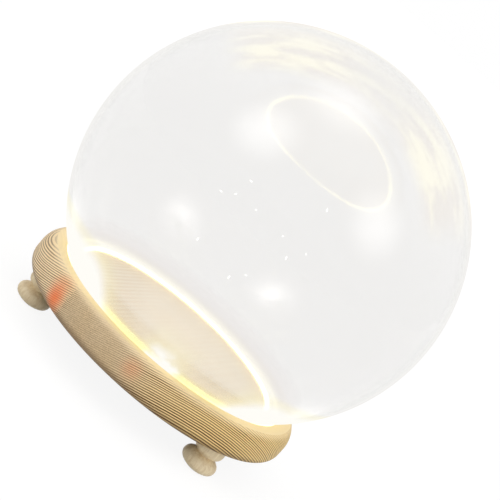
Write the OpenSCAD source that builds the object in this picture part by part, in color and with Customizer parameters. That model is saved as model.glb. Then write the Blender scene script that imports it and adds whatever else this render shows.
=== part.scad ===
// Lit glass globe on a turned pine base with three knob feet
// Millimetres, +Z up, origin on the table under the middle of the base

/* [Globe] */
// Widest outside diameter of the glass globe
globe_d = 150; // [146:1:156]
// How much lower the crown is than on a true sphere
globe_flat = 1.5; // [0.5:0.1:2.5]
// Thickness of the glass wall
glass_wall = 2; // [1.6:0.1:2.4]
// Outside diameter of the ground rim
rim_d = 99.5; // [98:0.5:101]

/* [Base] */
// Diameter of the pine base
base_d = 120; // [118:1:130]
// Thickness of the pine base
base_t = 13.4; // [13:0.2:14]
// Radius of the round-over on the upper edge
top_round = 8; // [7:0.5:9]
// How far the flat top is turned down into that round-over
top_cut = 1.6; // [1.2:0.1:2]
// Radius of the round-over on the lower edge
under_round = 4; // [3:0.2:4.4]
// Depth of the glass rim below the top of the base
rim_drop = 1.6; // [1.4:0.1:2]
// Depth of the floor inside the globe below the top of the base
floor_drop = 1.9; // [1.7:0.1:2.1]
// Thickness of the floor disc
floor_t = 2.4; // [2.2:0.1:2.6]

/* [Feet] */
// Height of a foot under the base
foot_h = 12.2; // [11.5:0.1:14]
// Diameter of the bead of a foot
foot_d = 14.4; // [13.6:0.2:15.6]
// Height of the bead of a foot
bead_h = 7.7; // [7.2:0.1:8.2]
// Diameter of the collar above the bead
collar_d = 12; // [11:0.2:12.4]
// Diameter of the circle that the feet stand on
foot_circle_d = 100; // [98:0.5:100]
// Angle of the front left foot, from +X
foot_turn = 198; // [193:1:203]

/* [Light] */
// Number of lamps on the ring board
led_count = 8; // [6:2:12]

/* [Battery box] */
// Thickness of the sliding door
door_t = 1.6; // [1.5:0.1:1.8]
// Travel of the switch slider
switch_travel = 2; // [1.6:0.1:2.2]

/* [Hidden] */
$fn = 96;
// Overrun of a cut past the face that it opens
over = 1;

// Arcs of the globe: one round the side and one over the crown, meeting at 45 degrees
globe_r = globe_d / 2;
arc_shift = globe_flat / (2 - sqrt(2));
side_r = globe_r - arc_shift;
crown_r = globe_r - globe_flat + arc_shift;
rim_below = sqrt(crown_r^2 - (rim_d / 2)^2) - arc_shift;
function glass_r(drop, wall) =
    drop > (crown_r - wall) / sqrt(2) - arc_shift
        ? sqrt((crown_r - wall)^2 - (drop + arc_shift)^2)
        : arc_shift + sqrt((side_r - wall)^2 - drop^2);

// Levels of the base, up from the table
base_r = base_d / 2;
base_z = foot_h;
base_top = base_z + base_t;
rim_z = base_top - rim_drop;
globe_z = rim_z + rim_below;
floor_top = base_top - floor_drop;
recess_z = floor_top - floor_t;
channel_z = recess_z - 2.4;

// Radii of the recess, from the glass that stands in it
recess_r = glass_r(globe_z - base_top, 0) + 0.4;
floor_r = glass_r(rim_below, glass_wall) - 1.2;
edge_ease = 0.4;
floor_edge = 0.5;
channel_r = floor_r - 0.8;

// Diffuser that stands in the channel on its skirt, over the ring board and the lamps
diffuser_gap = 0.4;
diffuser_in = floor_r + diffuser_gap;
diffuser_out = recess_r - diffuser_gap;
diffuser_t = 2.4;
skirt = 1;
board_t = 1;
board_in = floor_r - 0.2;
board_out = diffuser_out - skirt - 0.2;
board_top = channel_z + board_t;
led_r = (diffuser_in + diffuser_out - skirt) / 2;
led_size = [2.8, 3.5, 0.7];
resistor_size = [0.8, 1.6, 0.45];
resistor_count = 6;
resistor_r = board_in + 0.65;

// Feet: the bead is an oval of four arcs, cut flat where it stands
foot_flat = 0.4;
bead_r = foot_d / 2;
bead_edge = 2.6;
bead_half = bead_h / 2;
bead_z = bead_half - foot_flat;
bead_shift = ((bead_r - bead_edge)^2 - (bead_half - bead_edge)^2) / (2 * (bead_half - bead_edge));
bead_arc = bead_shift + bead_half;
bead_meet = bead_arc * (bead_r - bead_edge) / (bead_arc - bead_edge);
collar_r = collar_d / 2;
collar_h = 5.1;
collar_round = 2.5;
waist_r = 3.8;
foot_circle_r = foot_circle_d / 2;
foot_angles = [for (i = [0:2]) foot_turn + 120 * i];

// Foot screws, countersunk into the floor of the channel
foot_screw_r = 1.1;
foot_screw_head_r = 1.8;
foot_screw_head_h = 1;
foot_screw_tip = 4;
screw_play = 0.05;

// AAA cells, and the box that holds them side by side
cell_d = 10.5;
cell_l = 44.5;
nub_d = 3.8;
nub_l = 1.2;
cell_play = 0.35;
cell_step = cell_d + 0.4;
cell_y = cell_step / 2;
wall = 1;
partition = 1.2;
bay_l = 51;
bay_w = cell_step + cell_d + 2 * cell_play;
switch_bay_l = 11.8;
well_l = bay_l + switch_bay_l + partition + 2 * wall;
well_w = bay_w + 2 * wall;
bay_end = well_l / 2 - wall;
bay_start = bay_end - bay_l;
pocket_play = 0.3;
well_top = recess_z - 0.3;
bay_top = well_top - wall;
cell_z = bay_top - 0.25 - cell_d / 2;
flange_l = 73;
flange_w = 39;
flange_round = 5;
bay_wall_top = base_z + 5;

// Sliding door, held by a tongue along each side
door_top = cell_z - cell_d / 2 - 0.35;
door_z = door_top - door_t;
door_w = bay_w + 1.1;
tongue = 1;
door_play = 0.2;
lip_play = 0.1;
door_start = bay_start - 0.5;
door_end = flange_l / 2;
grip_count = 5;
grip_step = 1.8;
grip_size = [0.8, 14, 0.4];

// Box screws, in the corners of the flange
box_screw_x = 31.5;
box_screw_y = 16.2;
box_screw_r = 1;
box_head_r = 2.1;
box_head_h = 1.6;
box_sink = 2.2;
box_screw_l = 9;
cross_size = [2.6, 0.6, 0.9];

// Battery contacts
plate_t = 0.4;
plate_gap = 0.05;
plate_w = 8.6;
plate_h = 8.6;
dimple_r = 1.6;
dimple_h = 0.85;
tab_l = 3.4;
tab_w = 2.2;
window_w = 2.6;
near_plate = bay_start + plate_gap;
near_face = near_plate + plate_t;
far_face = bay_end - plate_gap - plate_t;
spring_l = 4.6;
spring_wire_r = 0.3;
spring_foot_r = 3.3;
spring_tip_r = 2.3;
spring_turns = 3.5;
spring_sides = 6;
rings_per_turn = 8;

// Slide switch, beside the cells
switch_x = -26;
switch_size = [3.7, 8.6, 3.5];
switch_z = door_top;
pin_r = 0.3;
pin_l = 2.2;
pin_step = 2.5;
slider_size = [1.8, 2, 4.6];
slider_drop = 3.2;
slot_w = 2.6;
slot_l = slider_size[1] + switch_travel + 0.8;
slot_depth = 1.6;

// Leads, with the points that each runs through
lead_r = 0.45;
lead_sides = 8;
lead_steps = 3;
lead_y = 2.4;
lead_z = board_top + lead_r + 0.02;
lead_end = -board_in - 1.4;
lead_slot_w = 6.4;
tab_tip = near_plate - tab_l - plate_gap;
pin_top = switch_z + switch_size[2] + pin_l + plate_gap;
switch_lead_path = [
    [tab_tip, cell_y, cell_z],
    [tab_tip - 0.9, cell_y - 0.2, cell_z],
    [switch_x + 1.2, pin_step + 0.2, pin_top - 0.7],
    [switch_x + pin_r + plate_gap, pin_step, pin_top - 0.7]
];
positive_path = [
    [switch_x, 0, pin_top],
    [switch_x, 0, pin_top + 1],
    [switch_x - 0.6, 0.4, pin_top + 3],
    [switch_x - 2.5, 1.4, lead_z - 0.5],
    [switch_x - 5, lead_y, lead_z],
    [switch_x - 8, lead_y, lead_z],
    [lead_end, lead_y, lead_z]
];
negative_path = [
    [tab_tip, -cell_y, cell_z],
    [tab_tip - 1, -cell_y, cell_z],
    [tab_tip - 2.5, -cell_y + 0.4, cell_z + 2.4],
    [tab_tip - 5, -cell_y + 2, lead_z - 0.8],
    [tab_tip - 8.5, -lead_y, lead_z],
    [tab_tip - 11, -lead_y, lead_z],
    [lead_end, -lead_y, lead_z]
];

// Colours
glass_tint = [0.88, 0.94, 0.95, 0.3];
pine = "#dfc497";
pale_pine = "#ead8b4";
beech = "#c8b690";
glow = "#fff2c8";
board_white = "#f2f0ea";
lamp_yellow = "#ffe08a";
resistor_black = "#2a2a2a";
box_black = "#26272a";
cell_green = "#3f7d4c";
nickel = "#b9bcc0";
steel = "#a4a6aa";
slider_black = "#151515";
lead_red = "#b3261e";
lead_black = "#1c1c1c";

// A closed tube along a list of points; no stretch of the path runs along side_on
function unit(v) = v / norm(v);
function heading(path, i) = unit(path[min(i + 1, len(path) - 1)] - path[max(i - 1, 0)]);
function tube_ring(path, i, r, sides, side_on) =
    let (u = unit(cross(side_on, heading(path, i))), v = cross(heading(path, i), u))
    [for (k = [0:sides - 1]) path[i] + r * (cos(360 * k / sides) * u + sin(360 * k / sides) * v)];
module tube(path, r, sides, side_on) {
    last = len(path) - 1;
    points = [for (i = [0:last]) each tube_ring(path, i, r, sides, side_on)];
    skin = [for (i = [0:last - 1]) for (k = [0:sides - 1])
        let (a = i * sides, b = a + sides, n = (k + 1) % sides)
        [a + k, b + k, b + n, a + n]];
    start_cap = [for (k = [0:sides - 1]) k];
    end_cap = [for (k = [sides - 1:-1:0]) last * sides + k];
    polyhedron(points, concat([start_cap], skin, [end_cap]));
}

// A smooth curve through hand-set points
function curve_point(a, b, c, d, t) =
    (2 * b + (c - a) * t + (2 * a - 5 * b + 4 * c - d) * t^2 + (3 * b - a - 3 * c + d) * t^3) / 2;
function curve(p, steps) = concat(
    [for (i = [0:len(p) - 2]) for (k = [0:steps - 1])
        curve_point(p[max(i - 1, 0)], p[i], p[i + 1], p[min(i + 2, len(p) - 1)], k / steps)],
    [p[len(p) - 1]]);
module lead(path) {
    tube(curve(path, lead_steps), lead_r, lead_sides, [0, 1, 0]);
}

// Small building blocks
module ring(inner, outer, z, h) {
    rotate_extrude()
        translate([inner, z])
            square([outer - inner, h]);
}
module block(x, y, z, size) {
    translate([x - size[0] / 2, y - size[1] / 2, z])
        cube(size);
}
module round_pad(l, w, r) {
    square([l - 2 * r, w], center = true);
    square([l, w - 2 * r], center = true);
    for (x = [-1, 1], y = [-1, 1])
        translate([x * (l / 2 - r), y * (w / 2 - r)])
            circle(r);
}

// Half of the globe's outline, set in from the outside by the wall
module globe_outline(inset) {
    meet = (crown_r - inset) / sqrt(2);
    intersection() {
        translate([0, -arc_shift])
            circle(crown_r - inset);
        translate([0, arc_shift])
            circle(crown_r - inset);
        translate([0, -crown_r])
            square([meet, 2 * crown_r]);
    }
    intersection() {
        translate([arc_shift, 0])
            circle(side_r - inset);
        translate([meet, -crown_r])
            square([crown_r, 2 * crown_r]);
    }
}
module glass_globe() {
    color(glass_tint)
        translate([0, 0, globe_z])
            rotate_extrude()
                difference() {
                    globe_outline(0);
                    globe_outline(glass_wall);
                    translate([-over, -globe_d])
                        square([globe_d, globe_d - rim_below]);
                }
}

// Turned base, with its rounded edges, the recess and the light channel in its profile
module corner_waste(r) {
    difference() {
        square(r + over);
        circle(r);
    }
}
module base_outline() {
    difference() {
        translate([0, base_z])
            square([base_r, base_t]);
        translate([base_r - top_round, base_top + top_cut - top_round])
            corner_waste(top_round);
        translate([base_r - under_round, base_z + under_round])
            mirror([0, 1])
                corner_waste(under_round);
        translate([-over, recess_z])
            square([recess_r + over, base_t]);
        translate([channel_r, channel_z])
            square([recess_r - channel_r, base_t]);
        translate([recess_r, base_top])
            polygon([[-over, over], [-over, -edge_ease - over], [edge_ease + over, over]]);
    }
}
module at_feet() {
    for (a = foot_angles)
        rotate(a)
            translate([foot_circle_r, 0, 0])
                children();
}
module at_box_screws() {
    for (x = [-1, 1], y = [-1, 1])
        translate([x * box_screw_x, y * box_screw_y, 0])
            children();
}
module base_body() {
    color(pine)
        difference() {
            rotate_extrude()
                base_outline();
            block(0, 0, base_z - over, [well_l + 2 * pocket_play, well_w + 2 * pocket_play, base_t]);
            translate([-channel_r - over, -lead_slot_w / 2, board_top - 0.2])
                cube([channel_r + over - well_l / 2 + over, lead_slot_w, base_t]);
            at_feet() {
                translate([0, 0, base_z - over])
                    cylinder(h = base_t, r = foot_screw_r + screw_play);
                translate([0, 0, channel_z - foot_screw_head_h])
                    cylinder(
                        h = foot_screw_head_h,
                        r1 = foot_screw_r + screw_play,
                        r2 = foot_screw_head_r + screw_play
                    );
            }
            at_box_screws()
                translate([0, 0, base_z - over])
                    cylinder(h = box_screw_l - 2 + over, r = box_screw_r + screw_play);
        }
}
module floor_disc() {
    color(pale_pine)
        rotate_extrude() {
            translate([0, recess_z])
                square([floor_r, floor_t - floor_edge]);
            translate([0, recess_z])
                square([floor_r - floor_edge, floor_t]);
            translate([floor_r - floor_edge, floor_top - floor_edge])
                circle(floor_edge);
        }
}

// Light ring under the rim
module diffuser_ring() {
    color(glow) {
        ring(diffuser_in, diffuser_out, rim_z - diffuser_t, diffuser_t);
        ring(diffuser_out - skirt, diffuser_out, channel_z, rim_z - channel_z);
    }
}
module led_board() {
    color(board_white)
        ring(board_in, board_out, channel_z, board_t);
}
module led_chips() {
    color(lamp_yellow)
        for (i = [0:led_count - 1])
            rotate(270 + i * 360 / led_count)
                block(led_r, 0, board_top, led_size);
}
module board_resistors() {
    color(resistor_black)
        for (i = [0:resistor_count - 1])
            rotate(180 + (i + 0.5) * 360 / resistor_count)
                block(resistor_r, 0, board_top, resistor_size);
}

// Knob foot: a flattened bead under a short collar
module foot_outline() {
    intersection() {
        translate([0, bead_z - bead_shift])
            circle(bead_arc);
        translate([0, bead_z + bead_shift])
            circle(bead_arc);
        square([bead_meet, bead_h]);
    }
    translate([bead_r - bead_edge, bead_z])
        circle(bead_edge);
    translate([0, bead_z])
        square([waist_r, foot_h - bead_z]);
    translate([0, foot_h - collar_h])
        square([collar_r - collar_round, collar_h]);
    translate([0, foot_h - collar_h + collar_round])
        square([collar_r, collar_h - collar_round]);
    translate([collar_r - collar_round, foot_h - collar_h + collar_round])
        circle(collar_round);
}
module foot(i) {
    color(beech)
        rotate(foot_angles[i])
            translate([foot_circle_r, 0, 0])
                difference() {
                    rotate_extrude()
                        foot_outline();
                    translate([0, 0, foot_screw_tip - screw_play])
                        cylinder(h = foot_h, r = foot_screw_r + screw_play);
                }
}
module front_left_foot() {
    foot(0);
}
module front_right_foot() {
    foot(1);
}
module rear_foot() {
    foot(2);
}
module foot_screws() {
    color(steel)
        at_feet() {
            translate([0, 0, foot_screw_tip])
                cylinder(h = channel_z - foot_screw_tip - screw_play, r = foot_screw_r);
            translate([0, 0, channel_z - foot_screw_head_h - screw_play])
                cylinder(h = foot_screw_head_h, r1 = foot_screw_r, r2 = foot_screw_head_r);
        }
}

// Battery box: a well let into the base, and a flange that carries the door and the switch
module door_slot() {
    l = door_end - door_start + door_play + over;
    w = door_w + 2 * door_play;
    translate([door_start - door_play, -w / 2, door_z - over])
        cube([l, w, door_t + lip_play + over]);
    translate([door_start - door_play, -w / 2 - tongue, door_z + door_t / 2 - lip_play])
        cube([l, w + 2 * tongue, door_t / 2 + 2 * lip_play]);
}
module battery_box() {
    switch_bay_x = bay_start - partition - switch_bay_l / 2;
    color(box_black)
        difference() {
            union() {
                translate([0, 0, door_z])
                    linear_extrude(base_z - door_z)
                        round_pad(flange_l, flange_w, flange_round);
                translate([bay_start - partition, -well_w / 2, base_z - over])
                    cube([bay_l + partition + wall, well_w, well_top - base_z + over]);
                block(0, 0, base_z - over, [well_l, well_w, bay_wall_top - base_z + over]);
            }
            translate([bay_start, -bay_w / 2, door_z - over])
                cube([bay_l, bay_w, bay_top - door_z + over]);
            door_slot();
            block(switch_bay_x, 0, door_top, [switch_bay_l, bay_w, base_t]);
            block(switch_x, 0, door_z - over, [slot_w, slot_l, door_t + 2 * over]);
            for (y = [-cell_y, cell_y])
                block(bay_start - partition / 2, y, cell_z - window_w / 2,
                    [partition + 0.2, window_w, window_w]);
            at_box_screws() {
                translate([0, 0, door_z - over])
                    cylinder(h = base_t, r = box_screw_r + 2 * screw_play);
                translate([0, 0, door_z - over])
                    cylinder(h = box_sink + over, r = box_head_r + 0.2);
            }
        }
}
module battery_door() {
    l = door_end - door_start;
    color(box_black)
        difference() {
            union() {
                translate([door_start, -door_w / 2, door_z])
                    cube([l, door_w, door_t]);
                translate([door_start, -door_w / 2 - tongue, door_z + door_t / 2])
                    cube([l, door_w + 2 * tongue, door_t / 2]);
            }
            for (i = [1:grip_count])
                block(door_end - 2 - i * grip_step, 0, door_z - grip_size[2],
                    [grip_size[0], grip_size[1], 2 * grip_size[2]]);
        }
}
module box_screws() {
    head_z = door_z + box_sink - box_head_h;
    color(steel)
        at_box_screws() {
            difference() {
                translate([0, 0, head_z])
                    cylinder(h = box_head_h, r = box_head_r);
                for (turn = [0, 90])
                    rotate(turn)
                        block(0, 0, head_z - over, cross_size + [0, 0, over]);
            }
            translate([0, 0, head_z + box_head_h])
                cylinder(h = box_screw_l, r = box_screw_r);
        }
}

// AAA cells and their contacts
module cell(positive_end) {
    color(cell_green) {
        rotate([0, 90, 0])
            cylinder(h = cell_l - nub_l, r = cell_d / 2, center = true);
        translate([positive_end * (cell_l - nub_l) / 2, 0, 0])
            rotate([0, positive_end * 90, 0])
                cylinder(h = nub_l, r = nub_d / 2);
    }
}
module cell_front() {
    start = near_face + spring_l + 2 * plate_gap;
    translate([start + (cell_l - nub_l) / 2, -cell_y, cell_z])
        cell(1);
}
module cell_rear() {
    end = far_face - spring_l - 2 * plate_gap;
    translate([end - (cell_l - nub_l) / 2, cell_y, cell_z])
        cell(-1);
}
function spring_path(foot_x, toward) = [
    for (i = [0:spring_turns * rings_per_turn])
        let (s = i / (spring_turns * rings_per_turn), a = 360 * i / rings_per_turn)
        let (r = spring_foot_r + (spring_tip_r - spring_foot_r) * s)
        [
            foot_x + toward * (plate_gap + spring_wire_r + s * (spring_l - 2 * spring_wire_r)),
            r * cos(a),
            r * sin(a)
        ]
];
function least_gap(path) = min([
    for (i = [0:len(path) - 1 - rings_per_turn / 2], j = [i + rings_per_turn / 2:len(path) - 1])
        norm(path[i] - path[j])
]) - 2 * spring_wire_r;
echo(spring_gap = least_gap(spring_path(near_face, 1)));
module cell_springs() {
    color(nickel) {
        translate([0, -cell_y, cell_z])
            tube(spring_path(near_face, 1), spring_wire_r, spring_sides, [1, 0, 0]);
        translate([0, cell_y, cell_z])
            tube(spring_path(far_face, -1), spring_wire_r, spring_sides, [1, 0, 0]);
    }
}
module terminal(y) {
    block(near_plate + plate_t / 2, y, cell_z - plate_h / 2, [plate_t, plate_w, plate_h]);
    translate([near_plate - tab_l, y - tab_w / 2, cell_z - tab_w / 2])
        cube([tab_l + plate_t, tab_w, tab_w]);
}
module negative_terminal() {
    color(nickel)
        terminal(-cell_y);
}
module positive_terminal() {
    color(nickel) {
        terminal(cell_y);
        translate([near_face, cell_y, cell_z])
            rotate([0, 90, 0])
                cylinder(h = dimple_h, r = dimple_r);
    }
}
module link_plate() {
    color(nickel) {
        block(far_face + plate_t / 2, 0, cell_z - plate_h / 2, [plate_t, cell_step + plate_w, plate_h]);
        translate([far_face, -cell_y, cell_z])
            rotate([0, -90, 0])
                cylinder(h = dimple_h, r = dimple_r);
    }
}

// Slide switch, at rest in its lit position
module switch_body() {
    color(steel)
        difference() {
            union() {
                block(switch_x, 0, switch_z, switch_size);
                for (i = [-1:1])
                    translate([switch_x, i * pin_step, switch_z + switch_size[2] - over])
                        cylinder(h = pin_l + over, r = pin_r);
            }
            block(switch_x, 0, switch_z - over, [slot_w, slot_l, slot_depth + over]);
        }
}
module switch_slider() {
    color(slider_black)
        block(switch_x, switch_travel / 2, switch_z - slider_drop, slider_size);
}

// Leads inside the base
module switch_lead() {
    color(lead_red)
        lead(switch_lead_path);
}
module ring_lead_positive() {
    color(lead_red)
        lead(positive_path);
}
module ring_lead_negative() {
    color(lead_black)
        lead(negative_path);
}

glass_globe();
base_body();
floor_disc();
diffuser_ring();
led_board();
led_chips();
board_resistors();
front_left_foot();
front_right_foot();
rear_foot();
foot_screws();
battery_box();
battery_door();
cell_front();
cell_rear();
cell_springs();
negative_terminal();
positive_terminal();
link_plate();
switch_body();
switch_slider();
switch_lead();
ring_lead_positive();
ring_lead_negative();
box_screws();
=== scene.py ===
import math

import bmesh
import bpy
from mathutils import Matrix, Vector


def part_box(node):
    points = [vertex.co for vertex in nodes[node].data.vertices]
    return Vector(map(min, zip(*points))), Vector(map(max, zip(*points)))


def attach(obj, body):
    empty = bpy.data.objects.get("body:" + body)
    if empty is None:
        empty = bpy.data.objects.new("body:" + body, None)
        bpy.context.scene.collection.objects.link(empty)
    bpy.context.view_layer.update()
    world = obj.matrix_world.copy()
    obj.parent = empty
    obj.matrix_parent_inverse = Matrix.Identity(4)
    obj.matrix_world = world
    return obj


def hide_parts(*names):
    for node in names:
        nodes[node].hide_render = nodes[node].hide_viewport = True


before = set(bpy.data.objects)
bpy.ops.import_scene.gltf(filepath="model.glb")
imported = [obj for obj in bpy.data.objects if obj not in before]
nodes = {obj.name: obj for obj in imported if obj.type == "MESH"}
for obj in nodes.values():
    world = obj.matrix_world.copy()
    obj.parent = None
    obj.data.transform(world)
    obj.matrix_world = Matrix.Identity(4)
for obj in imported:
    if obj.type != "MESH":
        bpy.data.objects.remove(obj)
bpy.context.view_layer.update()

scene = bpy.context.scene
mm = 0.001

globeLow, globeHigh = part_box("glass_globe")
globeRadius = (globeHigh[0] - globeLow[0]) / 2
globeFlat = 1.5 * mm         # the crown sits this much lower than on a sphere
globeCentre = Vector((0, 0, globeHigh[2] - globeRadius + globeFlat))
noiseSpan = (0.3, 0.7)       # most of a noise's values lie here
print("frame loaded, globe centre", round(globeCentre.z / mm, 2), "mm up")


# helpers for node trees

def newMaterial(name):
    mat = bpy.data.materials.new(name)
    mat.use_nodes = True
    tree = mat.node_tree
    tree.nodes.clear()
    out = tree.nodes.new("ShaderNodeOutputMaterial")
    return mat, tree, out


def addNode(tree, kind, links=None, **settings):
    node = tree.nodes.new(kind)
    for key, value in settings.items():
        setattr(node, key, value)
    for socket, source in (links or {}).items():
        target = node.inputs[socket]
        if isinstance(source, bpy.types.NodeSocket):
            tree.links.new(source, target)
        else:
            target.default_value = source
    return node


def mathNode(tree, operation, first, second=0.0, third=0.0):
    links = {0: first, 1: second, 2: third}
    return addNode(tree, "ShaderNodeMath", links, operation=operation).outputs[0]


def times(tree, *factors):
    product = factors[0]
    for factor in factors[1:]:
        product = mathNode(tree, "MULTIPLY", product, factor)
    return product


def vectorMath(tree, operation, first, second=(0, 0, 0), output="Vector"):
    links = {0: first, 1: second}
    return addNode(tree, "ShaderNodeVectorMath", links, operation=operation).outputs[output]


def parts(tree, vector):
    return addNode(tree, "ShaderNodeSeparateXYZ", {0: vector}).outputs


def mapRange(tree, value, low, high, toLow=0.0, toHigh=1.0, smooth=True):
    kind = "SMOOTHSTEP" if smooth else "LINEAR"
    links = {"Value": value, "From Min": low, "From Max": high, "To Min": toLow, "To Max": toHigh}
    return addNode(tree, "ShaderNodeMapRange", links, interpolation_type=kind).outputs["Result"]


def fadeIn(tree, value, span, share=1.0):
    return mapRange(tree, value, *span, 0.0, share)


def fadeOut(tree, value, span, share=1.0):
    return mapRange(tree, value, *span, share, 0.0)


def mixColour(tree, factor, first, second):
    return addNode(tree, "ShaderNodeMix", {0: factor, 6: first, 7: second}, data_type="RGBA").outputs[2]


def mixShader(tree, factor, first, second):
    return addNode(tree, "ShaderNodeMixShader", {0: factor, 1: first, 2: second}).outputs[0]


def emission(tree, colour, strength):
    return addNode(tree, "ShaderNodeEmission", {"Color": colour, "Strength": strength}).outputs[0]


def clearShader(tree, colour=(1, 1, 1, 1)):
    return addNode(tree, "ShaderNodeBsdfTransparent", {"Color": colour}).outputs[0]


def noiseNode(tree, vector, scale, detail=2.0, roughness=0.5):
    links = {"Vector": vector, "Scale": scale, "Detail": detail, "Roughness": roughness}
    return addNode(tree, "ShaderNodeTexNoise", links).outputs["Fac"]


def objectPoint(tree):
    return addNode(tree, "ShaderNodeTexCoord").outputs["Object"]


def mapped(tree, vector, location=(0, 0, 0), rotation=(0, 0, 0), scale=(1, 1, 1)):
    links = {"Vector": vector, "Location": location, "Rotation": rotation, "Scale": scale}
    return addNode(tree, "ShaderNodeMapping", links).outputs["Vector"]


def srgb(red, green, blue):
    def linear(c):
        c /= 255
        return c / 12.92 if c <= 0.04045 else ((c + 0.055) / 1.055) ** 2.4
    return (linear(red), linear(green), linear(blue), 1.0)


def principled(tree, out, **sockets):
    links = {key.replace("_", " "): source for key, source in sockets.items()}
    shader = addNode(tree, "ShaderNodeBsdfPrincipled", links).outputs[0]
    tree.links.new(shader, out.inputs["Surface"])
    return shader


def bump(tree, height, distance, strength=1.0):
    links = {"Height": height, "Distance": distance, "Strength": strength}
    return addNode(tree, "ShaderNodeBump", links).outputs["Normal"]


def dress(nodeName, mat):
    mesh = nodes[nodeName].data
    mesh.materials.clear()
    mesh.materials.append(mat)
    for face in mesh.polygons:
        face.material_index = 0


# camera, as the photo was taken: rolled, from a little above

cameraSet = {
    "distance": 0.5609,      # to the globe's centre
    "elevation": 9.83,
    "roll": 41.19,
    "focalPixels": 1515.5,
    "imagePixels": 500,
    "globePixel": (268.79, 222.95),      # where the globe's centre shows
    "sensorWidth": 36.0,
    "clipStart": 0.01,
}


def makeCamera(s):
    tilt = math.radians(s["elevation"])
    roll = math.radians(s["roll"])
    level = Vector((1, 0, 0))
    upward = Vector((0, math.sin(tilt), math.cos(tilt)))
    place = globeCentre + s["distance"] * Vector((0, -math.cos(tilt), math.sin(tilt)))
    imageRight = math.cos(roll) * level + math.sin(roll) * upward
    imageUp = -math.sin(roll) * level + math.cos(roll) * upward
    perPixel = s["distance"] / s["focalPixels"]
    half = s["imagePixels"] / 2
    sideways = (s["globePixel"][0] - half) * perPixel
    upwards = (half - s["globePixel"][1]) * perPixel
    aim = globeCentre - sideways * imageRight - upwards * imageUp
    forward = (aim - place).normalized()
    right = (imageRight - imageRight.dot(forward) * forward).normalized()
    up = right.cross(forward)
    lens = bpy.data.cameras.new("photoCamera")
    lens.sensor_width = s["sensorWidth"]
    lens.lens = lens.sensor_width * s["focalPixels"] / s["imagePixels"]
    lens.clip_start = s["clipStart"]
    camera = bpy.data.objects.new("photoCamera", lens)
    axes = Matrix((right, up, -forward)).transposed()
    camera.matrix_world = Matrix.Translation(place) @ axes.to_4x4()
    scene.collection.objects.link(camera)
    scene.camera = camera
    return {"place": place, "right": right, "up": up, "forward": forward}


# the place on the near side of the globe that shows at a pixel of the photo

def globePoint(pixel, inset=0.0):
    half = cameraSet["imagePixels"] / 2
    across = view["right"] * (pixel[0] - half) + view["up"] * (half - pixel[1])
    ray = (view["forward"] * cameraSet["focalPixels"] + across).normalized()
    size = Vector((globeRadius - inset, globeRadius - inset, globeHigh[2] - globeCentre.z - inset))
    start = Vector([(view["place"] - globeCentre)[i] / size[i] for i in range(3)])
    step = Vector([ray[i] / size[i] for i in range(3)])
    a, b, c = step.dot(step), start.dot(step), start.dot(start) - 1
    place = view["place"] + ray * ((-b - math.sqrt(max(b * b - a * c, 0))) / a)
    normal = Vector([(place - globeCentre)[i] / size[i] ** 2 for i in range(3)]).normalized()
    return place, normal, ray


view = makeCamera(cameraSet)
scene.view_settings.view_transform = "Standard"
print("camera set")


# studio: white surround, pale floor, three soft round lights

studioSet = {
    "fill": (0.95, 0.45),     # light of the surround on the wood, from the front and from behind
    "floorSize": 40.0,
    "floorWhite": 0.82,      # share of plain white in the floor that is seen, to soften the shadow
    "white": (1.09, 1.16),   # near the object, where the lights fall, and away from it
    "whiteFrom": (0.2, 1.6),
    "floorColour": (0.8, 0.8, 0.795, 1.0),
}


def seenWhite(tree):
    path = addNode(tree, "ShaderNodeLightPath")
    seen = mathNode(tree, "MAXIMUM", path.outputs["Is Camera Ray"], path.outputs["Is Glossy Ray"])
    return mathNode(tree, "MAXIMUM", seen, path.outputs["Is Transmission Ray"])


def makeSurround(s):
    world = bpy.data.worlds.new("whiteSurround")
    world.use_nodes = True
    scene.world = world
    tree = world.node_tree
    tree.nodes.clear()
    out = tree.nodes.new("ShaderNodeOutputWorld")
    toward = addNode(tree, "ShaderNodeTexCoord").outputs["Generated"]
    depth = parts(tree, toward)["Y"]
    fill = mapRange(tree, depth, -1.0, 1.0, *s["fill"], smooth=False)
    strength = mathNode(tree, "MAXIMUM", fill, seenWhite(tree))
    sky = addNode(tree, "ShaderNodeBackground", {"Color": (1, 1, 1, 1), "Strength": strength})
    tree.links.new(sky.outputs[0], out.inputs["Surface"])


def makeFloor(s):
    mesh = bpy.data.meshes.new("studioFloor")
    h = s["floorSize"] / 2
    mesh.from_pydata([(-h, -h, 0), (h, -h, 0), (h, h, 0), (-h, h, 0)], [], [(0, 1, 2, 3)])
    floor = bpy.data.objects.new("studioFloor", mesh)
    scene.collection.objects.link(floor)
    mat, tree, out = newMaterial("studioPaper")
    paper = addNode(tree, "ShaderNodeBsdfDiffuse", {"Color": s["floorColour"]})
    share = times(tree, seenWhite(tree), s["floorWhite"])
    away = vectorMath(tree, "LENGTH", objectPoint(tree), output="Value")
    white = emission(tree, (1, 1, 1, 1), mapRange(tree, away, *s["whiteFrom"], *s["white"]))
    both = mixShader(tree, share, paper.outputs[0], white)
    below = addNode(tree, "ShaderNodeNewGeometry").outputs["Backfacing"]  # clear from below
    tree.links.new(mixShader(tree, below, both, clearShader(tree)), out.inputs["Surface"])
    mesh.materials.append(mat)


lightSet = {
    "distance": 0.9,
    "radius": 0.42,
    "edge": 1.0,             # as bright as the surround, so that no edge shows
    "narrow": 2.7,           # how fast it falls off from the middle when seen in the back wall
    "softFrom": 0.08,
    "backDepth": 2.5,        # a ray through more surfaces than this has been to the back wall
    "colour": (1, 0.985, 0.97, 1),
    "segments": 48,
    "glints": {              # where each shows in the photo, its strength there and in the back wall
        "lightLeft": ((266, 130), 2.8, 6.4),
        "lightRight": ((378, 225), 2.55, 7.0),
        "lightTop": ((345, 105), 2.25, 3.0),
    },
}


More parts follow.
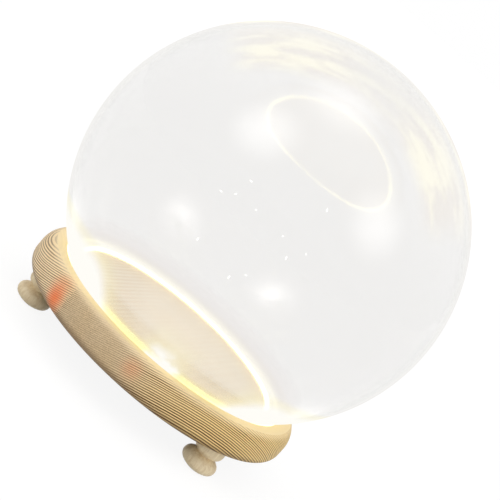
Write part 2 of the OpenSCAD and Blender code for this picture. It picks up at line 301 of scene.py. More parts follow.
def softLight(s, name, front, back):
    mat, tree, out = newMaterial(name)
    spot = addNode(tree, "ShaderNodeTexGradient", {"Vector": objectPoint(tree)}, gradient_type="SPHERICAL")
    first = mapRange(tree, spot.outputs["Fac"], s["softFrom"], 1.0, s["edge"], front)
    peak = mathNode(tree, "POWER", spot.outputs["Fac"], s["narrow"])
    second = mapRange(tree, peak, 0.0, 1.0, s["edge"], back, smooth=False)
    path = addNode(tree, "ShaderNodeLightPath").outputs
    inBack = mathNode(tree, "GREATER_THAN", path["Transmission Depth"], s["backDepth"])
    soft = mathNode(tree, "MULTIPLY_ADD", mathNode(tree, "SUBTRACT", second, first), inBack, first)
    glow = emission(tree, s["colour"], soft)
    seen = mixShader(tree, path["Is Camera Ray"], glow, clearShader(tree))  # it shows in the glass alone
    tree.links.new(seen, out.inputs["Surface"])
    return mat


def makeLights(s):
    for name, (pixel, front, back) in s["glints"].items():
        place, normal, ray = globePoint(pixel)
        place = place + s["distance"] * ray.reflect(normal)
        direction = place - globeCentre
        mesh = bpy.data.meshes.new(name)
        disc = bmesh.new()
        bmesh.ops.create_circle(disc, cap_ends=True, radius=1.0, segments=s["segments"])
        disc.to_mesh(mesh)
        disc.free()
        mesh.materials.append(softLight(s, name, front, back))
        card = bpy.data.objects.new(name, mesh)
        scene.collection.objects.link(card)
        turn = direction.to_track_quat("Z", "Y").to_matrix().to_4x4()
        grow = Matrix.Diagonal((s["radius"], s["radius"], s["radius"], 1))
        card.matrix_world = Matrix.Translation(place) @ turn @ grow


makeSurround(studioSet)
makeFloor(studioSet)
makeLights(lightSet)
print("studio set")


# light ring: a milky bed over a row of lamps

ringSet = {
    "lampCount": 8,          # the first one at the front
    "glow": (1.0, 0.94, 0.55, 1.0),
    "low": 0.9,
    "high": 1.2,
    "mirrored": 2.8,         # added where it is seen by reflection in the glass, and yellower there
    "mirrorGlow": (1.0, 0.94, 0.42, 1.0),
    "litFrom": 45.9 * mm,    # from here to litFull the plate lets more and more light through
    "litFull": 46.9 * mm,
    "inner": 0.9,
    "milk": (0.95, 0.9, 0.78, 1.0),
    "rough": 0.5,
}


# the turn about the part's axis, from the front or from a place beside it

def fromFront(tree, shift=0.0):
    place = parts(tree, objectPoint(tree))
    turn = mathNode(tree, "ARCTAN2", place["X"], times(tree, place["Y"], -1.0))
    return mathNode(tree, "SUBTRACT", turn, math.radians(shift))


def lampWave(tree, s, shift=0.0):
    return mathNode(tree, "COSINE", times(tree, fromFront(tree, shift), float(s["lampCount"])))


def fromAxis(tree):
    level = vectorMath(tree, "MULTIPLY", objectPoint(tree), (1, 1, 0))
    return vectorMath(tree, "LENGTH", level, output="Value")


def litDiffuser(s):
    mat, tree, out = newMaterial("litDiffuser")
    lit = mapRange(tree, lampWave(tree, s), -1.0, 1.0, s["low"], s["high"])
    outward = mapRange(tree, fromAxis(tree), s["litFrom"], s["litFull"], s["inner"], 1.0)
    lit = times(tree, lit, outward)
    mirrored = addNode(tree, "ShaderNodeLightPath").outputs["Is Glossy Ray"]
    lit = mathNode(tree, "MULTIPLY_ADD", mirrored, s["mirrored"], lit)
    glow = mixColour(tree, mirrored, s["glow"], s["mirrorGlow"])
    principled(
        tree, out, Base_Color=s["milk"], Roughness=s["rough"], Emission_Color=glow, Emission_Strength=lit
    )
    return mat


dress("diffuser_ring", litDiffuser(ringSet))
print("light ring lit")


# blown glass globe, turned from its outline

globeSet = {
    "wall": 2.0 * mm,
    "insideFrom": 1.8 * mm,  # deeper than this is the inner face of the wall
    "rowStep": 1.25 * mm,
    "segments": 300,
    "rimLift": 0.05 * mm,    # the ground rim stands on the diffuser
    "rimBevel": 0.3 * mm,
    "rimRise": 0.6,          # share of the bevel that it rises
    "rimNarrow": 0.3,        # and that it steps in on the inside
    "tint": (0.922, 0.918, 0.912, 1.0),
    "index": 1.5,
    "shadowTint": (0.96, 0.96, 0.96, 1),
    "groundTop": (0.1 * mm, 0.5 * mm),  # the ground rim is rough
    "groundRough": 0.35,
    "hazeTop": 4 * mm,       # the foot of the wall is a little hazy
    "haze": 0.06,
    "polish": 0.05,
    "glow": (1.0, 0.985, 0.93, 1.0),
    "liftDark": 12 * mm,     # lifted so far off the ring, it is no longer lit
    "rimGlow": 0.5,          # the ground rim is lit from the ring below it
    "rimTop": (0.2 * mm, 0.5 * mm),
    "wallGlow": 5.0,         # and the wall carries the light on, seen where it is looked at edge on
    "wallGlowTop": 30 * mm,
    "wallGlowFade": 3.0,
    "wallGlowEdge": 8.0,
    "innerFoot": srgb(255, 253, 245),  # the inside of the wall's foot scatters it, and less farther up
    "innerDim": srgb(244, 241, 239),
    "innerDimFrom": (1.3 * mm, 3.2 * mm),
    "innerShare": 0.92,
    "innerTop": (4.5 * mm, 10.0 * mm),
    "outerFoot": srgb(253, 243, 152),  # the outside is yellow with it
    "outerShare": 0.88,
    "outerTop": 6.5 * mm,
    "glare": 3.4,            # over each lamp the outside glares white, in a mottled cloud
    "glareFrom": -0.1,       # on the wave that goes from -1 between the lamps to 1 at a lamp
    "glareEdge": 1.3,        # and the more so where it is looked at edge on
    "glareTop": 22 * mm,
    "glareFade": 1.3,
    "glareShift": 4,         # degrees that it stands to one side of the lamp
    "mottle": 95,
    "mottleFrom": (0.36, 0.64),
    "mottleShare": (0.6, 1.1),
    "endGlare": (0.44, 0.59),  # at the two ends in the photo's view the lit wall glares all over
    "endStrength": 1.5,
    "endRise": 8.5,          # and the more so the higher up
    "endPast": (21, 42, 85, 105),  # degrees from the front: from, full, full, to
    "endTop": 21 * mm,
    "fringe": srgb(255, 247, 200),     # where the glare thins out it is yellow
    "fringeFrom": (0.2, 0.9),
    "paintedEdgeLight": srgb(244, 243, 240),  # painted reflection: the edge of the globe is paled with the colour of the surround
    "edgeFrom": (0.64, 0.9),  # on the scale from 0 face on to 1 edge on
    "edgeShare": 0.9,
    "crownColour": (1.1, 1.07, 0.92, 1.0),  # light caught in streaks, high on the back and the crown
    # painted light: the pale glow between the streaks
    "crownPaleGlow": srgb(248, 241, 231),
    "crownShare": (0.56, 0.42),  # share everywhere, and what a streak adds
    "crownTilt": 9.83,       # degrees that their axis dips to the back: the photo's line of sight
    "crownFrom": (54, 64),   # degrees from the back end of that axis
    "crownTo": (98, 112),
    "crownLine": 63,         # one thin line all along
    "crownLineWidth": (0.3, 1.6),
    "crownLineShare": 0.8,
    "crownSides": (5, 24, 44, 58),       # degrees to either side: from, full, full, to
    "crownMiddle": 0.4,      # share left between the two sides
    "crownStreaks": (9, 3),
    "crownNoise": (0.42, 0.6),
}


def arcPoints(centre, radius, start, end, step):
    count = max(2, round(abs(end - start) * radius / step))
    angles = [start + (end - start) * i / count for i in range(count + 1)]
    return [(centre[0] + radius * math.cos(a), centre[1] + radius * math.sin(a)) for a in angles]


def globeWall(s, inset, rimZ):
    shift = globeFlat / (2 - math.sqrt(2))
    sideR = globeRadius - shift - inset
    crownR = globeRadius - globeFlat + shift - inset
    drop = globeCentre.z - rimZ
    rimAngle = -math.asin((drop + shift) / crownR)
    quarter = math.pi / 4
    low = arcPoints((0, shift), crownR, rimAngle, -quarter, s["rowStep"] / 2)
    side = arcPoints((shift, 0), sideR, -quarter, quarter, s["rowStep"])
    crown = arcPoints((0, -shift), crownR, quarter, 2 * quarter, s["rowStep"])
    outline = low + side[1:] + crown[1:]
    outline[-1] = (0.0, outline[-1][1])
    return [(r, z + globeCentre.z) for r, z in outline]


def turnedMesh(name, outline, segments):
    shape = bmesh.new()
    turns = [2 * math.pi * k / segments for k in range(segments)]
    rows = []
    for r, z in outline:
        if r < 1e-6:  # a point on the axis
            rows.append([shape.verts.new((0, 0, z))])
            continue
        rows.append([shape.verts.new((r * math.cos(a), r * math.sin(a), z)) for a in turns])
    pairs = list(zip(rows, rows[1:]))
    pairs.append((rows[-1], rows[0]))  # the outline closes at the rim
    for lower, upper in pairs:
        for k in range(segments):
            n = (k + 1) % segments
            if len(upper) == 1 and len(lower) == 1:
                continue
            if len(upper) == 1:
                shape.faces.new((lower[k], lower[n], upper[0]))
            elif len(lower) == 1:
                shape.faces.new((lower[0], upper[n], upper[k]))
            else:
                shape.faces.new((lower[k], lower[n], upper[n], upper[k]))
    for face in shape.faces:
        face.smooth = True
    mesh = bpy.data.meshes.new(name)
    shape.to_mesh(mesh)
    shape.free()
    piece = bpy.data.objects.new(name, mesh)
    scene.collection.objects.link(piece)
    return piece


def climb(tree, height, reach, power):
    fade = mapRange(tree, height, 0.0, reach, 1.0, 0.0, smooth=False)
    return mathNode(tree, "POWER", fade, power)


def fadeUp(tree, height, reach):
    part = mapRange(tree, height, 0.0, reach, smooth=False)
    return mathNode(tree, "SUBTRACT", 1.0, mathNode(tree, "POWER", part, 2.0))


# painted light: a share of plain emitted colour laid over a shader
def paintedLightOver(tree, under, share, colour):
    return mixShader(tree, share, under, emission(tree, colour, 1.0))


# one while the globe stands on the ring, and none once it is lifted

def ringNear(tree, point, s):
    place = addNode(tree, "ShaderNodeNewGeometry").outputs["Position"]
    lift = vectorMath(tree, "SUBTRACT", place, point)
    return fadeOut(tree, parts(tree, lift)["Z"], (0.0, s["liftDark"]))


# a share that comes in between the first two angles and goes between the last two

def window(tree, angle, degrees, least=0.0):
    a, b, c, d = [math.radians(value) for value in degrees]
    return times(tree, mapRange(tree, angle, a, b, least, 1.0), fadeOut(tree, angle, (c, d)))


# streaks of light near the crown, placed on the glass where the photo shows them

def crownLight(tree, s, fromCentre):
    tilted = mapped(tree, fromCentre, rotation=(math.radians(s["crownTilt"]), 0, 0))
    part = parts(tree, vectorMath(tree, "NORMALIZE", tilted))
    away = mathNode(tree, "ARCCOSINE", part["Y"])
    around = mathNode(tree, "ARCTAN2", part["X"], part["Z"])
    sides = window(tree, mathNode(tree, "ABSOLUTE", around), s["crownSides"], s["crownMiddle"])
    shown = times(tree, sides, window(tree, away, s["crownFrom"] + s["crownTo"]))
    across, along = s["crownStreaks"]
    links = {"X": times(tree, away, across), "Y": times(tree, around, along)}
    flow = addNode(tree, "ShaderNodeCombineXYZ", links).outputs[0]
    streak = fadeIn(tree, noiseNode(tree, flow, 1.0, 3.0), s["crownNoise"])
    off = mathNode(tree, "ABSOLUTE", mathNode(tree, "SUBTRACT", away, math.radians(s["crownLine"])))
    width = [math.radians(angle) for angle in s["crownLineWidth"]]
    streak = mathNode(tree, "MAXIMUM", streak, fadeOut(tree, off, width, s["crownLineShare"]))
    least, more = s["crownShare"]
    share = times(tree, mathNode(tree, "MULTIPLY_ADD", streak, more, least), shown)
    return share, mixColour(tree, streak, s["crownPaleGlow"], s["crownColour"])


# light that the ring sends into the glass, as soft shares of plain colour over the clear glass

def litGlass(tree, s, glass, height, litInside, litOutside):
    share = times(tree, fadeOut(tree, height, s["innerTop"], s["innerShare"]), litInside)
    dim = mixColour(tree, fadeIn(tree, height, s["innerDimFrom"]), s["innerFoot"], s["innerDim"])
    glass = paintedLightOver(tree, glass, share, dim)
    share = times(tree, climb(tree, height, s["outerTop"], 1.0), s["outerShare"], litOutside)
    return paintedLightOver(tree, glass, share, s["outerFoot"])


# glare over the lamps and at the two ends, stronger where the glass is looked at edge on

def glareGlass(tree, s, glass, point, height, facing, litOutside):
    wave = lampWave(tree, ringSet, s["glareShift"])
    lamps = mapRange(tree, wave, s["glareFrom"], 1.0, 0.0, s["glare"])
    cloud = mapRange(tree, noiseNode(tree, point, s["mottle"], 3.0), *s["mottleFrom"], *s["mottleShare"])
    edge = mathNode(tree, "POWER", facing, s["glareEdge"])
    lamps = times(tree, lamps, cloud, edge, climb(tree, height, s["glareTop"], s["glareFade"]))
    level = mathNode(tree, "MULTIPLY_ADD", height, s["endRise"], facing)
    side = mathNode(tree, "ABSOLUTE", fromFront(tree, s["glareShift"]))
    ends = fadeIn(tree, level, s["endGlare"], s["endStrength"])
    ends = times(tree, ends, window(tree, side, s["endPast"]), fadeUp(tree, height, s["endTop"]))
    share = mathNode(tree, "MINIMUM", mathNode(tree, "MAXIMUM", lamps, ends), 1.0)
    colour = mixColour(tree, fadeIn(tree, share, s["fringeFrom"]), s["fringe"], s["glow"])
    return paintedLightOver(tree, glass, times(tree, share, litOutside), colour)


def clearGlass(s):
    mat, tree, out = newMaterial("clearBlownGlass")
    point = objectPoint(tree)
    height = mathNode(tree, "SUBTRACT", parts(tree, point)["Z"], globeLow[2])
    facing = addNode(tree, "ShaderNodeLayerWeight", {"Blend": 0.5}).outputs["Facing"]
    fromCentre = mapped(tree, point, location=-globeCentre)
    reach = vectorMath(tree, "LENGTH", fromCentre, output="Value")
    inside = mathNode(tree, "LESS_THAN", reach, globeRadius - s["insideFrom"])
    behind = addNode(tree, "ShaderNodeNewGeometry").outputs["Backfacing"]
    outside = mathNode(tree, "SUBTRACT", 1.0, mathNode(tree, "MAXIMUM", behind, inside))
    inward = times(tree, mathNode(tree, "SUBTRACT", 1.0, behind), inside)
    onRing = ringNear(tree, point, s)
    litInside = times(tree, inward, onRing)
    litOutside = times(tree, outside, onRing)

    ground = fadeOut(tree, height, s["groundTop"], s["groundRough"])
    haze = mapRange(tree, height, 0.0, s["hazeTop"], s["haze"], s["polish"])
    rimLit = fadeOut(tree, height, s["rimTop"], s["rimGlow"])
    edgeOn = mathNode(tree, "POWER", facing, s["wallGlowEdge"])
    carried = times(tree, climb(tree, height, s["wallGlowTop"], s["wallGlowFade"]), edgeOn)
    lit = times(tree, mathNode(tree, "MULTIPLY_ADD", carried, s["wallGlow"], rimLit), onRing)
    glass = principled(
        tree, out, Base_Color=s["tint"], Roughness=mathNode(tree, "MAXIMUM", ground, haze), IOR=s["index"],
        Transmission_Weight=1.0, Emission_Color=s["glow"], Emission_Strength=lit
    )

    glass = litGlass(tree, s, glass, height, litInside, litOutside)
    # painted reflection of the surround along the edge of the globe
    share = times(tree, fadeIn(tree, facing, s["edgeFrom"], s["edgeShare"]), outside)
    glass = paintedLightOver(tree, glass, share, s["paintedEdgeLight"])
    glass = glareGlass(tree, s, glass, point, height, facing, litOutside)
    share, colour = crownLight(tree, s, fromCentre)
    seen = mathNode(tree, "MAXIMUM", litInside, litOutside)
    glass = paintedLightOver(tree, glass, times(tree, share, seen), colour)

    shadow = addNode(tree, "ShaderNodeLightPath").outputs["Is Shadow Ray"]
    both = mixShader(tree, shadow, glass, clearShader(tree, s["shadowTint"]))
    tree.links.new(both, out.inputs["Surface"])
    return mat


def makeGlobe(s):
    rimZ = globeLow[2] + s["rimLift"]
    outer = globeWall(s, 0.0, rimZ)
    inner = globeWall(s, s["wall"], rimZ)
    bevel = s["rimBevel"]
    outerRim = (outer[0][0] - bevel, outer[0][1])
    innerRim = (inner[0][0] + bevel, inner[0][1])
    rise = s["rimRise"] * bevel
    outer[0] = (outer[0][0] + rise, outer[0][1] + rise)
    inner[0] = (inner[0][0] + s["rimNarrow"] * bevel, inner[0][1] + rise)
    outline = [outerRim] + outer[:1] + outer[2:] + inner[::-1][:-2] + inner[:1] + [innerRim]
    globe = turnedMesh("blown_globe", outline, s["segments"])
    shape = bmesh.new()
    shape.from_mesh(globe.data)
    bmesh.ops.recalc_face_normals(shape, faces=shape.faces)
    shape.to_mesh(globe.data)
    shape.free()
    globe.data.materials.append(clearGlass(s))
    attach(globe, "globe")
    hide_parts("glass_globe")
    return globe


globe = makeGlobe(globeSet)
print("globe turned,", len(globe.data.polygons), "faces")


# seed bubbles in the glass, small air bubbles drawn out a little

seedSet = {
    "pixels": (              # where they show in the photo
        (251, 181), (236, 194), (221, 191), (256, 210), (327, 210), (283, 236),
        (306, 254), (286, 258), (246, 275), (229, 277), (198, 239),
    ),
    "inset": 1.0 * mm,       # half way through the wall
    "size": 0.22 * mm,
    "stretch": (1.8, 4.0),   # least and most of their length
    "lean": 6.28,            # turned up to this much about each axis
    "seed": 4,
    "index": 0.667,          # air in glass
    "rough": 0.02,
    # painted glints: the bubbles give off a little light of their own
    "light": (1, 0.99, 0.96, 1),
    "lit": (0.5, 0.9),
    "grain": 3000,
}


def seedNodes(s):
    group = bpy.data.node_groups.new("seedBubbles", "GeometryNodeTree")
    face = group.interface
    face.new_socket("Geometry", in_out="INPUT", socket_type="NodeSocketGeometry")
    for name, kind in (("Size", "Float"), ("Shortest", "Float"), ("Longest", "Float"), ("Seed", "Int")):
        face.new_socket(name, in_out="INPUT", socket_type="NodeSocket" + kind)
    face.new_socket("Material", in_out="INPUT", socket_type="NodeSocketMaterial")
    face.new_socket("Geometry", in_out="OUTPUT", socket_type="NodeSocketGeometry")
    given = group.nodes.new("NodeGroupInput").outputs
    ball = addNode(group, "GeometryNodeMeshIcoSphere", {"Radius": given["Size"], "Subdivisions": 2})
    links = {"Min": given["Shortest"], "Max": given["Longest"], "Seed": given["Seed"]}
    length = addNode(group, "FunctionNodeRandomValue", links)
    drawn = addNode(group, "ShaderNodeCombineXYZ", {"X": 1.0, "Y": 1.0, "Z": length.outputs["Value"]})
    links = {"Min": (0, 0, 0), "Max": (s["lean"],) * 3, "Seed": given["Seed"]}
    lean = addNode(group, "FunctionNodeRandomValue", links, data_type="FLOAT_VECTOR")
    links = {
        "Points": given["Geometry"], "Instance": ball.outputs["Mesh"],
        "Rotation": lean.outputs["Value"], "Scale": drawn.outputs[0],
    }
    spread = addNode(group, "GeometryNodeInstanceOnPoints", links)
    whole = addNode(group, "GeometryNodeRealizeInstances", {"Geometry": spread.outputs[0]})
    links = {"Geometry": whole.outputs[0], "Material": given["Material"]}
    dressed = addNode(group, "GeometryNodeSetMaterial", links)
    out = group.nodes.new("NodeGroupOutput")
    group.links.new(dressed.outputs[0], out.inputs["Geometry"])
    return group


def bubbleAir(s):
    mat, tree, out = newMaterial("seedBubble")
    # painted glints: a patchy glow of the bubbles' own
    speck = noiseNode(tree, objectPoint(tree), s["grain"], 1.0)
    lit = mapRange(tree, speck, *noiseSpan, *s["lit"])
    principled(
        tree, out, Base_Color=(1, 1, 1, 1), Roughness=s["rough"], IOR=s["index"], Transmission_Weight=1.0,
        Emission_Color=s["light"], Emission_Strength=lit
    )
    return mat


def makeSeeds(s):
    mesh = bpy.data.meshes.new("seedPlaces")
    mesh.from_pydata([globePoint(pixel, s["inset"])[0] for pixel in s["pixels"]], [], [])
    places = bpy.data.objects.new("seedPlaces", mesh)
    scene.collection.objects.link(places)
    grow = places.modifiers.new("grow", "NODES")
    grow.node_group = seedNodes(s)
    values = {
        "Size": s["size"], "Shortest": s["stretch"][0], "Longest": s["stretch"][1],
        "Seed": s["seed"], "Material": bubbleAir(s),
    }
    for item in grow.node_group.interface.items_tree:
        if item.in_out == "INPUT" and item.name in values:
            grow[item.identifier] = values[item.name]
    seen = places.evaluated_get(bpy.context.evaluated_depsgraph_get())
    plain = bpy.data.meshes.new_from_object(seen)
    for face in plain.polygons:
        face.use_smooth = True
    bpy.data.objects.remove(places)
    seeds = bpy.data.objects.new("seed_bubbles", plain)
    scene.collection.objects.link(seeds)
    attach(seeds, "globe")
    return seeds


seeds = makeSeeds(seedSet)
print("seed bubbles set,", len(seeds.data.polygons), "faces")


# pine: growth rings about a pith well below the base, which slants to the back and down to the left

pineSet = {
    "pith": (-22 * mm, 0.0, -153.6 * mm),
    "axis": (-0.769, 1.0, -0.32),
    "ringFrom": 155 * mm,    # the years here are a step apart, and closer together farther out
    "ringStep": 0.74 * mm,
    "tighten": 12.6,
    "sway": 0.8 * mm,
    "swayScale": (32, 6, 32),
    "ripple": 0.25 * mm,
    "rippleScale": (160, 60, 160),
    "drift": 0.6,            # years come early or late by this much
    "driftScale": 0.3,
    "lateFrom": (0.27, 0.5),  # share of a year at which its late wood begins, and is full
    "lateTo": (0.84, 0.96),
    "lateLeast": 0.8,        # palest year's share of late wood
    "early": srgb(255, 231, 190),
    "cloud": srgb(250, 221, 174),
    "cloudScale": 45,
    "cloudFrom": (0.3, 0.75),
    "golden": srgb(253, 221, 154),     # the board is more golden at the right
    "goldenFrom": (-15 * mm, 35 * mm),
    "late": srgb(72, 33, 0),
    "evenLate": 0.43,        # share of late wood where its lines blur into one another
    "fibreStretch": (1, 0.06, 1),
    "fibreScale": 2600,
    "fibreGap": 0.94,        # late wood left between two fibres
    "fleck": 0.14,
    "fleckFrom": (0.35, 0.8),
    "speckle": 0.1,
    "speckleStretch": (1, 0.4, 1),
    "speckleScale": 3200,
    "gloss": 0.1,
    "rough": (0.58, 0.42),   # early and late wood
    "relief": 0.05 * mm,
    "reliefShare": 0.5,
    "fibreRelief": 0.4,
    "lip": (52.0 * mm, 54.5 * mm),     # the recess edge ends here
    "paintedTopLight": srgb(253, 233, 194),  # painted light: the flat top and the recess edge are paler, for the light from above and from the ring
    "topShare": 0.8,
    "topFrom": (0.5, 1.0),
    "topLate": (1.0, 0.2),   # depth of the lines on the side and on the top, where the painted light washes them out
    "rightPale": (38 * mm, 56 * mm),   # the lines are paler at the right end
    "rightLate": 0.7,
    "recessColour": srgb(226, 218, 204),  # the recess wall is in the glare of the ring
    "recessFrom": (0.3, 0.9),
    "under": 0.5,            # painted shade: the faces turned down, along the lower edge, are darker
    "underShadeFrom": (-0.75, 0.1),
    "blushColour": srgb(250, 122, 66),
    "blushes": (             # soft tints on the front of the base: place, reach, depth
        ((-38.6 * mm, -45.2 * mm, 16.9 * mm), 6.6 * mm, 0.85),
        ((-39.5 * mm, -43.5 * mm, 20.5 * mm), 7.5 * mm, 0.45),
        ((-2.5 * mm, -59.5 * mm, 20.3 * mm), 6.0 * mm, 0.25),
    ),
    "blushLate": 0.6,        # share of a tint on a dark line
    "quietFrom": (-38 * mm, -31 * mm),  # the lines blur here, from left to right, at the front
    "quietTo": (-16 * mm, 10 * mm),
    "quietFront": (-20 * mm, 0.0),
    "quietShare": 0.8,
    "leftTo": -35 * mm,      # the left end shows other years, more widely spaced
    "leftPith": (-45 * mm, -37.7 * mm, 140 * mm),
    "leftAxis": (0.917, -0.223, 0.331),
    "leftFrom": 111 * mm,
    "leftStep": 0.72 * mm,
    "leftLater": 0.14,       # their late wood begins later in the year, and is paler
    "leftPale": 0.2,
}


def boardPoint(tree, pith, axis):
    turn = Vector(axis).rotation_difference(Vector((0, 1, 0)))  # the grain runs along the board's own Y
    return mapped(tree, objectPoint(tree), location=-(turn @ Vector(pith)), rotation=turn.to_euler())


def growthRings(tree, s, board, ringFrom, ringStep, tighten):
    sway = noiseNode(tree, mapped(tree, board, scale=s["swayScale"]), 1.0, 1.0)
    flat = vectorMath(tree, "MULTIPLY", board, (1, 0, 1))
    reach = vectorMath(tree, "LENGTH", flat, output="Value")
    swayed = mathNode(tree, "MULTIPLY_ADD", sway, s["sway"], mathNode(tree, "SUBTRACT", reach, ringFrom))
    ripple = noiseNode(tree, mapped(tree, board, scale=s["rippleScale"]), 1.0, 2.0)
    swayed = mathNode(tree, "MULTIPLY_ADD", ripple, s["ripple"], swayed)
    closer = mathNode(tree, "MULTIPLY_ADD", swayed, tighten, 1.0)
    year = times(tree, mathNode(tree, "DIVIDE", swayed, ringStep), closer)
    links = {"W": year, "Scale": s["driftScale"], "Detail": 1.0}
    drift = addNode(tree, "ShaderNodeTexNoise", links, noise_dimensions="1D").outputs["Fac"]
    return mathNode(tree, "MULTIPLY_ADD", drift, s["drift"], year)


def lateWood(tree, s, years, atLeft):
    phase = mathNode(tree, "FRACT", years)
    begin, full = s["lateFrom"]
    begin = mathNode(tree, "MULTIPLY_ADD", atLeft, s["leftLater"], begin)
    late = times(tree, mapRange(tree, phase, begin, full), fadeOut(tree, phase, s["lateTo"]))
    links = {"W": mathNode(tree, "FLOOR", years)}
    each = addNode(tree, "ShaderNodeTexWhiteNoise", links, noise_dimensions="1D").outputs["Value"]
    late = times(tree, late, mapRange(tree, each, 0, 1, s["lateLeast"], 1.0))
    return times(tree, late, mathNode(tree, "MULTIPLY_ADD", atLeft, -s["leftPale"], 1.0))


def woodColour(tree, s, contrast, quiet=0.0):
    across = parts(tree, objectPoint(tree))["X"]
    board = boardPoint(tree, s["pith"], s["axis"])
    years = growthRings(tree, s, board, s["ringFrom"], s["ringStep"], s["tighten"])
    leftBoard = boardPoint(tree, s["leftPith"], s["leftAxis"])
    left = growthRings(tree, s, leftBoard, s["leftFrom"], s["leftStep"], 0.0)
    atLeft = mathNode(tree, "LESS_THAN", across, s["leftTo"])
    years = mathNode(tree, "MULTIPLY_ADD", mathNode(tree, "SUBTRACT", left, years), atLeft, years)
    late = lateWood(tree, s, years, atLeft)
    fibre = noiseNode(tree, mapped(tree, board, scale=s["fibreStretch"]), s["fibreScale"], 3.0, 0.6)
    late = times(tree, late, mapRange(tree, fibre, *noiseSpan, s["fibreGap"], 1.0))
    speckle = noiseNode(tree, mapped(tree, board, scale=s["speckleStretch"]), s["speckleScale"], 1.0)
    speckle = mapRange(tree, speckle, *noiseSpan, -s["speckle"], s["speckle"])
    blurred = times(tree, quiet, mathNode(tree, "ADD", speckle, s["evenLate"]))
    late = mathNode(tree, "MULTIPLY_ADD", late, mathNode(tree, "SUBTRACT", 1.0, quiet), blurred)
    late = times(tree, late, contrast)
    cloud = noiseNode(tree, objectPoint(tree), s["cloudScale"], 2.0)
    early = mixColour(tree, fadeIn(tree, cloud, s["cloudFrom"]), s["early"], s["cloud"])
    early = mixColour(tree, fadeIn(tree, across, s["goldenFrom"]), early, s["golden"])
    early = mixColour(tree, fadeIn(tree, fibre, s["fleckFrom"], s["fleck"]), early, s["late"])
    return mixColour(tree, late, early, s["late"]), late, fibre


def spotMask(tree, place, reach):
    away = vectorMath(tree, "DISTANCE", objectPoint(tree), place, output="Value")
    return fadeOut(tree, away, (0.0, reach))


def pineWood(s):
    mat, tree, out = newMaterial("turnedPine")
    place = parts(tree, objectPoint(tree))
    quiet = times(tree, fadeIn(tree, place["X"], s["quietFrom"]), fadeOut(tree, place["X"], s["quietTo"]))
    quiet = times(tree, quiet, fadeOut(tree, place["Y"], s["quietFront"], s["quietShare"]))
    normal = addNode(tree, "ShaderNodeNewGeometry").outputs["Normal"]
    upward = parts(tree, normal)["Z"]
    inward = fadeOut(tree, fromAxis(tree), s["lip"])
    # painted light: the faces turned up and the recess edge get the pale colour and fainter lines
    litTop = mathNode(tree, "MAXIMUM", fadeIn(tree, upward, s["topFrom"]), inward)
    contrast = mapRange(tree, litTop, 0.0, 1.0, *s["topLate"])
    contrast = times(tree, contrast, mapRange(tree, place["X"], *s["rightPale"], 1.0, s["rightLate"]))
    colour, late, fibre = woodColour(tree, s, contrast, quiet)
    colour = mixColour(tree, times(tree, litTop, s["topShare"]), colour, s["paintedTopLight"])
    recess = times(tree, inward, fadeOut(tree, upward, s["recessFrom"]))
    colour = mixColour(tree, recess, colour, s["recessColour"])
    # painted shade on the faces turned down
    colour = mixColour(tree, fadeOut(tree, upward, s["underShadeFrom"], s["under"]), colour, s["late"])
    for spot, reach, depth in s["blushes"]:
        over = mapRange(tree, late, 0.0, 1.0, depth, s["blushLate"] * depth, smooth=False)
        blush = times(tree, spotMask(tree, spot, reach), over)
        colour = mixColour(tree, blush, colour, s["blushColour"])
    rough = mapRange(tree, late, 0, 1, *s["rough"])
    relief = mathNode(tree, "MULTIPLY_ADD", fibre, s["fibreRelief"], late)
    uneven = bump(tree, relief, s["relief"], s["reliefShare"])
    principled(tree, out, Base_Color=colour, Roughness=rough, Normal=uneven, Specular_IOR_Level=s["gloss"])
    return mat


dress("base_body", pineWood(pineSet))

floorPineSet = dict(
    pineSet,
    leftTo=-1.0,             # no other years at the left
    early=srgb(255, 244, 224),
    cloud=srgb(255, 241, 218),
    golden=srgb(255, 244, 222),
    late=srgb(222, 190, 142),
    fleck=0.08,
    pith=(60 * mm, 0.0, -40 * mm),
    axis=(0.284, 0.959, 0.0),
    ringFrom=115 * mm,
    ringStep=1.6 * mm,
    tighten=0.0,
    fade=(-36 * mm, -8 * mm),  # the lines show at the left and fade out to here
    shown=(0.6, 0.08),
    paintedEdgeLight=srgb(255, 232, 180),  # painted light: the edge is warmer and paler where the ring's light falls
    edgeFrom=(32 * mm, 46 * mm),
    edgeShare=0.5,
    rough=0.5,
    gloss=0.35,
    relief=0.03 * mm,
    reliefShare=0.4,
    glow=(1, 0.85, 0.65, 1),   # painted glow: light that the wood passes on
    glowStrength=0.06,
)


def floorWood(s):
    mat, tree, out = newMaterial("palePine")
    across = parts(tree, objectPoint(tree))["X"]
    colour, _, fibre = woodColour(tree, s, mapRange(tree, across, *s["fade"], *s["shown"]))
    # painted light from the ring on the edge of the disc
    edge = fadeIn(tree, fromAxis(tree), s["edgeFrom"], s["edgeShare"])
    colour = mixColour(tree, edge, colour, s["paintedEdgeLight"])
    uneven = bump(tree, fibre, s["relief"], s["reliefShare"])
    principled(
        tree, out, Base_Color=colour, Roughness=s["rough"], Normal=uneven, Specular_IOR_Level=s["gloss"],
        Emission_Color=s["glow"], Emission_Strength=s["glowStrength"]
    )
    return mat


dress("floor_disc", floorWood(floorPineSet))
print("pine dressed")


# knob feet, close-grained pale wood with the grain upright

beechSet = {
    "pale": srgb(240, 224, 190),
    "dark": srgb(218, 195, 154),
    "darkFrom": (0.5, 0.95),
    "stretch": (1, 1, 0.12),
    "streakScale": 900,
    "fleckScale": 3500,
    "fleck": 0.4,
    "rough": 0.45,
    "gloss": 0.4,
    "relief": 0.03 * mm,
    "reliefShare": 0.4,
}


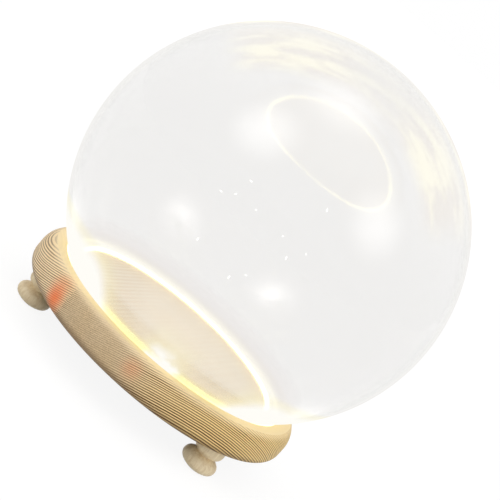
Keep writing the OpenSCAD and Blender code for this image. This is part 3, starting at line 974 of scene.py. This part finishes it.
def knobWood(s):
    mat, tree, out = newMaterial("turnedBeech")
    upright = mapped(tree, objectPoint(tree), scale=s["stretch"])
    streak = noiseNode(tree, upright, s["streakScale"], 4.0, 0.6)
    fleck = noiseNode(tree, upright, s["fleckScale"], 2.0, 0.5)
    shade = mathNode(tree, "MULTIPLY_ADD", fleck, s["fleck"], streak)
    colour = mixColour(tree, fadeIn(tree, shade, s["darkFrom"]), s["pale"], s["dark"])
    uneven = bump(tree, shade, s["relief"], s["reliefShare"])
    principled(
        tree, out, Base_Color=colour, Roughness=s["rough"], Normal=uneven, Specular_IOR_Level=s["gloss"]
    )
    return mat


beech = knobWood(beechSet)
for foot in ("front_left_foot", "front_right_foot", "rear_foot"):
    dress(foot, beech)
print("feet dressed")


# working parts inside and under the base

workSet = {
    "black": srgb(38, 39, 42),
    "sliderBlack": srgb(22, 22, 23),
    "board": srgb(240, 238, 232),
    "resistor": srgb(40, 40, 42),
    "lamp": srgb(255, 214, 120),
    "sleeve": srgb(52, 112, 66),
    "red": srgb(176, 36, 28),
    "nickel": (0.62, 0.61, 0.59, 1.0),
    "zinc": (0.52, 0.53, 0.55, 1.0),
    "plasticGrey": (0.3, 0.3, 0.3, 1),   # mixed in where the moulded texture stands out
    "plasticShare": 0.12,
    "plasticRough": (-0.06, 0.08),
    "plasticRelief": 0.04 * mm,
    "metalGrey": (0.32, 0.31, 0.3, 1),   # and along the drawing lines of the metal
    "metalShare": 0.25,
    "metalRough": (-0.08, 0.1),
    "metalStretch": (0.2, 1, 1),
    "metalScale": 3000,
}


def mouldedPlastic(s, name, colour, grain=2200, rough=0.5):
    mat, tree, out = newMaterial(name)
    texture = noiseNode(tree, objectPoint(tree), grain, 3.0, 0.6)
    tone = mixColour(tree, fadeIn(tree, texture, noiseSpan, s["plasticShare"]), colour, s["plasticGrey"])
    roughness = mapRange(tree, texture, *noiseSpan, *[rough + change for change in s["plasticRough"]])
    uneven = bump(tree, texture, s["plasticRelief"], 0.5)
    principled(tree, out, Base_Color=tone, Roughness=roughness, Normal=uneven)
    return mat


def platedMetal(s, name, colour, rough=0.3):
    mat, tree, out = newMaterial(name)
    along = mapped(tree, objectPoint(tree), scale=s["metalStretch"])
    drawn = noiseNode(tree, along, s["metalScale"], 2.0)
    tone = mixColour(tree, fadeIn(tree, drawn, noiseSpan, s["metalShare"]), colour, s["metalGrey"])
    roughness = mapRange(tree, drawn, *noiseSpan, *[rough + change for change in s["metalRough"]])
    principled(tree, out, Base_Color=tone, Roughness=roughness, Metallic=1.0)
    return mat


blackPlastic = mouldedPlastic(workSet, "mouldedBoxPlastic", workSet["black"])
nickel = platedMetal(workSet, "nickelPlate", workSet["nickel"])
zinc = platedMetal(workSet, "zincPlate", workSet["zinc"], 0.36)
redLead = mouldedPlastic(workSet, "redInsulation", workSet["red"], 4000, 0.35)
blackLead = mouldedPlastic(workSet, "blackInsulation", workSet["sliderBlack"], 4000, 0.35)
sleeve = mouldedPlastic(workSet, "cellSleeve", workSet["sleeve"], 5000, 0.3)
finishes = {
    "battery_box": blackPlastic,
    "battery_door": blackPlastic,
    "switch_slider": mouldedPlastic(workSet, "sliderPlastic", workSet["sliderBlack"], 3000, 0.42),
    "switch_body": zinc,
    "box_screws": zinc,
    "foot_screws": zinc,
    "cell_front": sleeve,
    "cell_rear": sleeve,
    "cell_springs": nickel,
    "negative_terminal": nickel,
    "positive_terminal": nickel,
    "link_plate": nickel,
    "led_board": mouldedPlastic(workSet, "boardWhite", workSet["board"], 1500, 0.4),
    "led_chips": mouldedPlastic(workSet, "lampPhosphor", workSet["lamp"], 6000, 0.4),
    "board_resistors": mouldedPlastic(workSet, "resistorBlack", workSet["resistor"], 6000, 0.5),
    "switch_lead": redLead,
    "ring_lead_positive": redLead,
    "ring_lead_negative": blackLead,
}
for nodeName, finish in finishes.items():
    dress(nodeName, finish)
print("working parts dressed")
